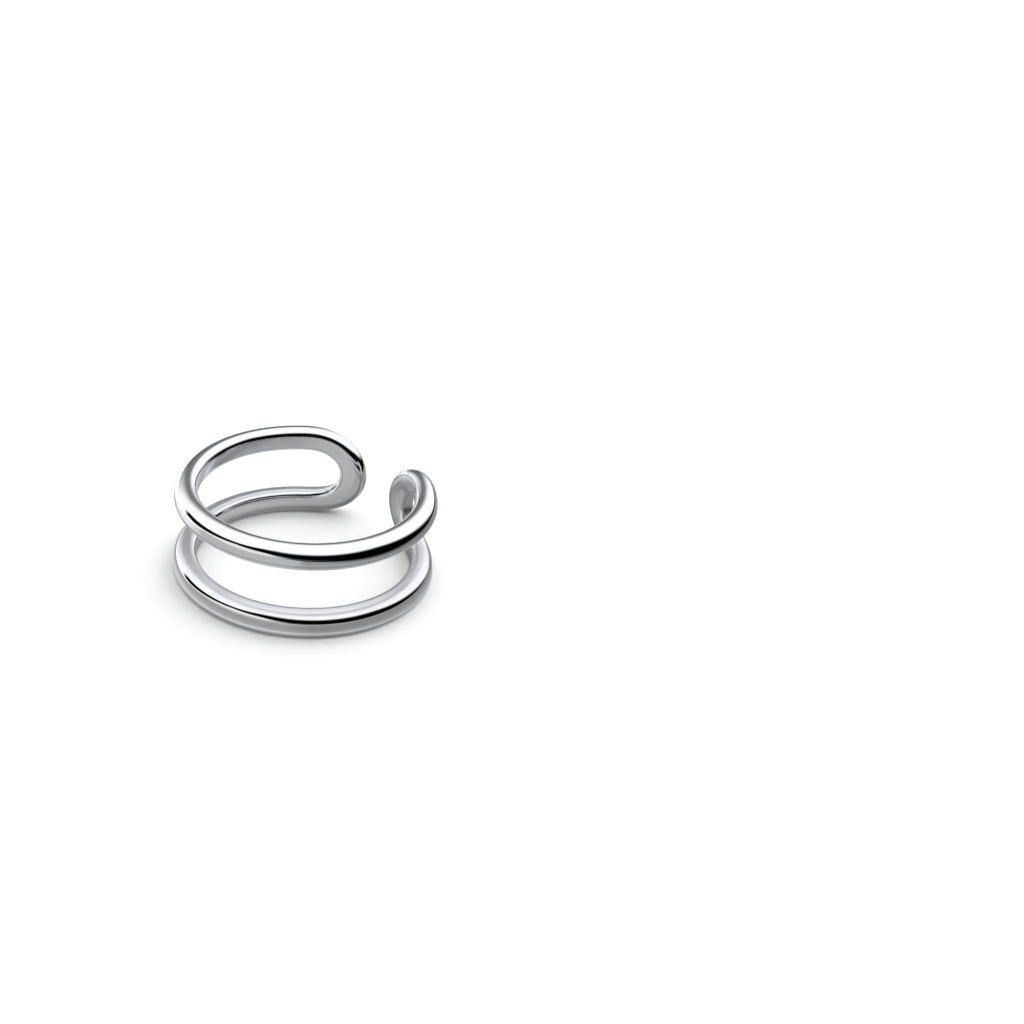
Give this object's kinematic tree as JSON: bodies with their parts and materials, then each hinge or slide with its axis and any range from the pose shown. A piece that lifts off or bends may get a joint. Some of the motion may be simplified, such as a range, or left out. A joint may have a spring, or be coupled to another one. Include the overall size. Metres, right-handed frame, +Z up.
{
  "type": "ear cuff",
  "caption": "Open ear cuff: slim rounded rails run side by side round the ear's edge and turn into each other beside the gap.",
  "frame": {"origin": "on the surface that the cuff lies on, under the middle of its outline", "axes": "+Z up along the band's own axis, +Y from the back of the band towards the gap, +X across it to the right seen from the back"},
  "size_m": [0.0118, 0.0114, 0.0044],
  "materials": {
    "silver": "polished silver"
  },
  "bodies": {
    "root": {"cuff": "silver"}
  },
  "joints": []
}
